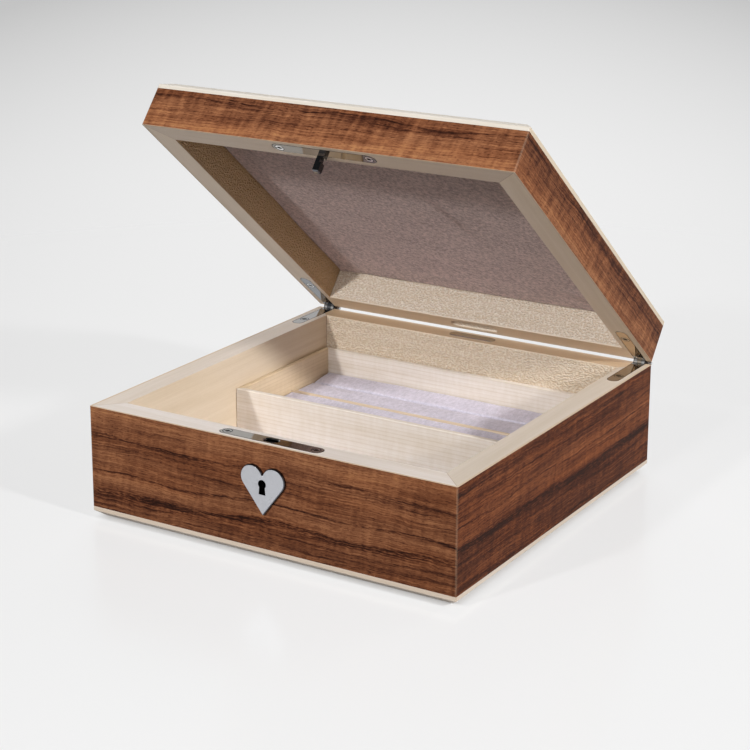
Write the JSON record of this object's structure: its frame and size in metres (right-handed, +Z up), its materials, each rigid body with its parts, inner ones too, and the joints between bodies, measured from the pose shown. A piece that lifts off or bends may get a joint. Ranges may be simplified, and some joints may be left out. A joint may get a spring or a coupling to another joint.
{
  "type": "cufflink display box",
  "caption": "Square walnut-faced box with a hinged lid standing open, pale rims, a lined sliding tray, a box lock with catch post and a heart-shaped escutcheon.",
  "frame": {"origin": "centre of the felt underside of the base", "axes": "+Z up out of the rim of the base, -Y towards the front with the lock, +X to the right seen from the front"},
  "size_m": [0.25, 0.2702, 0.2522],
  "materials": {
    "walnut": "satin lacquered figured walnut veneer",
    "sycamore": "pale rippled sycamore, fine satin",
    "birch_ply": "plain birch plywood",
    "lilac_suede": "lilac-grey faux suede",
    "taupe_suede": "taupe-mauve faux suede",
    "baize": "dark baize",
    "bright_nickel": "mirror-polished nickel plate",
    "lock_steel": "plain steel"
  },
  "bodies": {
    "base": {"base_back_board": "sycamore", "base_back_walnut": "walnut", "base_felt": "baize", "base_floor_panel": "birch_ply", "base_floor_suede": "lilac_suede", "base_front_board": "sycamore", "base_front_walnut": "walnut", "base_left_board": "sycamore", "base_left_walnut": "walnut", "base_right_board": "sycamore", "base_right_walnut": "walnut", "heart_escutcheon": "bright_nickel", "hinge_base_screws": "bright_nickel", "left_hinge_base_leaf": "bright_nickel", "left_hinge_pin": "bright_nickel", "lock_cap": "lock_steel", "lock_case": "lock_steel", "lock_key_pin": "lock_steel", "lock_plate": "bright_nickel", "lock_screws": "bright_nickel", "lock_spring": "lock_steel", "lock_studs": "lock_steel", "plinth_back": "sycamore", "plinth_front": "sycamore", "plinth_left": "sycamore", "plinth_right": "sycamore", "rear_plate": "bright_nickel", "right_hinge_base_leaf": "bright_nickel", "right_hinge_pin": "bright_nickel"},
    "lid": {"catch_plate": "bright_nickel", "catch_post": "bright_nickel", "catch_screws": "bright_nickel", "hinge_lid_screws": "bright_nickel", "left_hinge_lid_leaf": "bright_nickel", "lid_back_board": "sycamore", "lid_back_walnut": "walnut", "lid_edging_back": "sycamore", "lid_edging_front": "sycamore", "lid_edging_left": "sycamore", "lid_edging_right": "sycamore", "lid_front_board": "sycamore", "lid_front_walnut": "walnut", "lid_left_board": "sycamore", "lid_left_walnut": "walnut", "lid_right_board": "sycamore", "lid_right_walnut": "walnut", "lid_suede_pad": "taupe_suede", "lid_top_panel": "birch_ply", "lid_top_walnut": "walnut", "right_hinge_lid_leaf": "bright_nickel"},
    "tray": {"tray_back": "sycamore", "tray_back_roll": "lilac_suede", "tray_divider": "sycamore", "tray_floor": "birch_ply", "tray_front": "sycamore", "tray_front_pad": "lilac_suede", "tray_front_roll": "lilac_suede", "tray_left": "sycamore", "tray_right": "sycamore"},
    "lock_bolt": {"lock_bolt": "bright_nickel"}
  },
  "joints": [
    {"name": "lid_hinge", "type": "hinge", "parent": "base", "child": "lid", "pos_m": [0, 0.1275, 0.0707], "axis": [-1, 0, 0], "range_deg": [-39.3, 55.7]},
    {"name": "tray_slide", "type": "slide", "parent": "base", "child": "tray", "axis": [0, -1, 0], "range_m": [0, 0.111]},
    {"name": "bolt_throw", "type": "slide", "parent": "base", "child": "lock_bolt", "axis": [-1, 0, 0], "range_m": [0, 0.002]}
  ]
}
